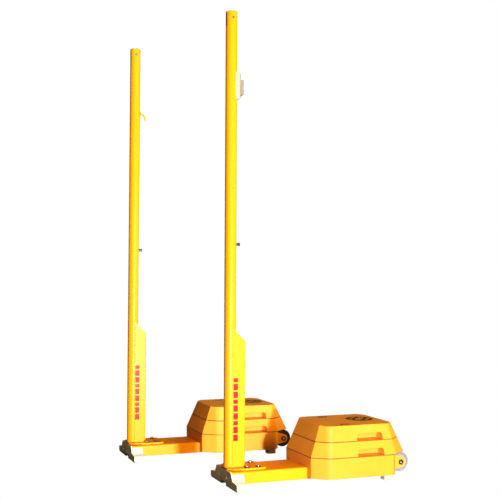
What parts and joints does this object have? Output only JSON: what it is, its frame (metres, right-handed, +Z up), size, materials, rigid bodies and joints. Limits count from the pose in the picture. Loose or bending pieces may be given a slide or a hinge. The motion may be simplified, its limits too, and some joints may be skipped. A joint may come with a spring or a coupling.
{
  "type": "volleyball post pair",
  "caption": "Pair of free-standing round volleyball posts on low wheeled bases with lift-off counterweights, one with a winch and one with a rope hook.",
  "frame": {"origin": "centre of the pair's bounding box, on the floor", "axes": "+Z up, +X from the front feet towards the counterweights, +Y from the winch post towards the hook post"},
  "size_m": [1.3583, 1.393, 2.55],
  "materials": {
    "yellow_paint": "glossy enamel",
    "yellow_cast": "satin enamel over rough casting",
    "zinc": "zinc plated, slightly dull",
    "chrome": "polished",
    "steel": "plain",
    "dark_steel": "blackened",
    "brass": "machined",
    "rubber": "matte",
    "foot_rubber": "matte",
    "nylon": "matte",
    "wheel_grey": "satin",
    "wheel_black": "satin",
    "white_paint": "satin",
    "grey_steel": "satin"
  },
  "bodies": {
    "near_set": {"near_post_tube": "yellow_paint", "near_top_cap": "yellow_paint", "near_back_channel": "yellow_paint", "near_base_plate": "yellow_paint", "near_base_bolt_1": "chrome", "near_base_bolt_2": "chrome", "near_base_bolt_3": "chrome", "near_base_bolt_4": "chrome", "near_beam": "yellow_paint", "near_front_foot": "zinc", "near_base_box": "yellow_cast", "near_locating_bar": "steel", "near_sheave_axle": "chrome", "near_net_stud": "dark_steel", "near_foot_bolt_right": "chrome", "near_foot_pad_right": "rubber", "near_rear_foot_right": "foot_rubber", "near_wheel_axle_right": "chrome", "near_foot_bolt_left": "chrome", "near_foot_pad_left": "rubber", "near_rear_foot_left": "foot_rubber", "near_wheel_axle_left": "chrome", "near_winch_bracket": "white_paint", "near_winch_housing": "grey_steel"},
    "near_lower_weight": {"near_weight_lower": "yellow_cast"},
    "near_upper_weight": {"near_weight_upper": "yellow_cast"},
    "near_sheave": {"near_sheave": "nylon"},
    "near_wheel_right": {"near_wheel_right": "wheel_grey"},
    "near_wheel_left": {"near_wheel_left": "wheel_grey"},
    "far_set": {"far_post_tube": "yellow_paint", "far_top_cap": "yellow_paint", "far_back_channel": "yellow_paint", "far_base_plate": "yellow_paint", "far_base_bolt_1": "chrome", "far_base_bolt_2": "chrome", "far_base_bolt_3": "chrome", "far_base_bolt_4": "chrome", "far_beam": "yellow_paint", "far_front_foot": "zinc", "far_base_box": "yellow_cast", "far_locating_bar": "steel", "far_sheave_axle": "chrome", "far_net_stud": "dark_steel", "far_foot_bolt_right": "chrome", "far_foot_pad_right": "rubber", "far_rear_foot_right": "foot_rubber", "far_wheel_axle_right": "chrome", "far_foot_bolt_left": "chrome", "far_foot_pad_left": "rubber", "far_rear_foot_left": "foot_rubber", "far_wheel_axle_left": "chrome", "far_rope_hook": "yellow_paint"},
    "far_lower_weight": {"far_weight_lower": "yellow_cast"},
    "far_upper_weight": {"far_weight_upper": "yellow_cast"},
    "far_sheave": {"far_sheave": "nylon"},
    "far_wheel_right": {"far_wheel_right": "wheel_black"},
    "far_wheel_left": {"far_wheel_left": "wheel_black"},
    "near_winch_drum": {"near_winch_drum": "steel", "near_worm_wheel": "brass"},
    "near_worm": {"near_worm_shaft": "dark_steel"}
  },
  "joints": [
    {"name": "near_lower_weight_lift", "type": "slide", "parent": "near_set", "child": "near_lower_weight", "axis": [0, 0, 1], "range_m": [0, 0.25]},
    {"name": "near_upper_weight_lift", "type": "slide", "parent": "near_lower_weight", "child": "near_upper_weight", "axis": [0, 0, 1], "range_m": [0, 0.25]},
    {"name": "near_sheave_spin", "type": "hinge", "parent": "near_set", "child": "near_sheave", "pos_m": [-0.326, -0.4635, 2.512], "axis": [0, 1, 0], "continuous": true},
    {"name": "near_wheel_right_spin", "type": "hinge", "parent": "near_set", "child": "near_wheel_right", "pos_m": [0.621, -0.6135, 0.087], "axis": [0, 1, 0], "continuous": true},
    {"name": "near_wheel_left_spin", "type": "hinge", "parent": "near_set", "child": "near_wheel_left", "pos_m": [0.621, -0.3135, 0.087], "axis": [0, 1, 0], "continuous": true},
    {"name": "far_lower_weight_lift", "type": "slide", "parent": "far_set", "child": "far_lower_weight", "axis": [0, 0, 1], "range_m": [0, 0.25]},
    {"name": "far_upper_weight_lift", "type": "slide", "parent": "far_lower_weight", "child": "far_upper_weight", "axis": [0, 0, 1], "range_m": [0, 0.25]},
    {"name": "far_sheave_spin", "type": "hinge", "parent": "far_set", "child": "far_sheave", "pos_m": [-0.641, 0.4635, 2.512], "axis": [0, 1, 0], "continuous": true},
    {"name": "far_wheel_right_spin", "type": "hinge", "parent": "far_set", "child": "far_wheel_right", "pos_m": [0.306, 0.3135, 0.087], "axis": [0, 1, 0], "continuous": true},
    {"name": "far_wheel_left_spin", "type": "hinge", "parent": "far_set", "child": "far_wheel_left", "pos_m": [0.306, 0.6135, 0.087], "axis": [0, 1, 0], "continuous": true},
    {"name": "near_drum_spin", "type": "hinge", "parent": "near_set", "child": "near_winch_drum", "pos_m": [-0.2785, -0.4635, 2.137], "axis": [0, 1, 0], "continuous": true},
    {"name": "near_worm_spin", "type": "hinge", "parent": "near_set", "child": "near_worm", "pos_m": [-0.2785, -0.4765, 2.12], "axis": [1, 0, 0], "continuous": true},
    {"name": "far_set_roll", "type": "slide", "parent": "near_set", "child": "far_set", "axis": [1, 0, 0], "range_m": [-0.5, 0.5]}
  ],
  "couplings": [
    {"joint": "near_worm_spin", "follows": "near_drum_spin", "ratio": 20}
  ]
}
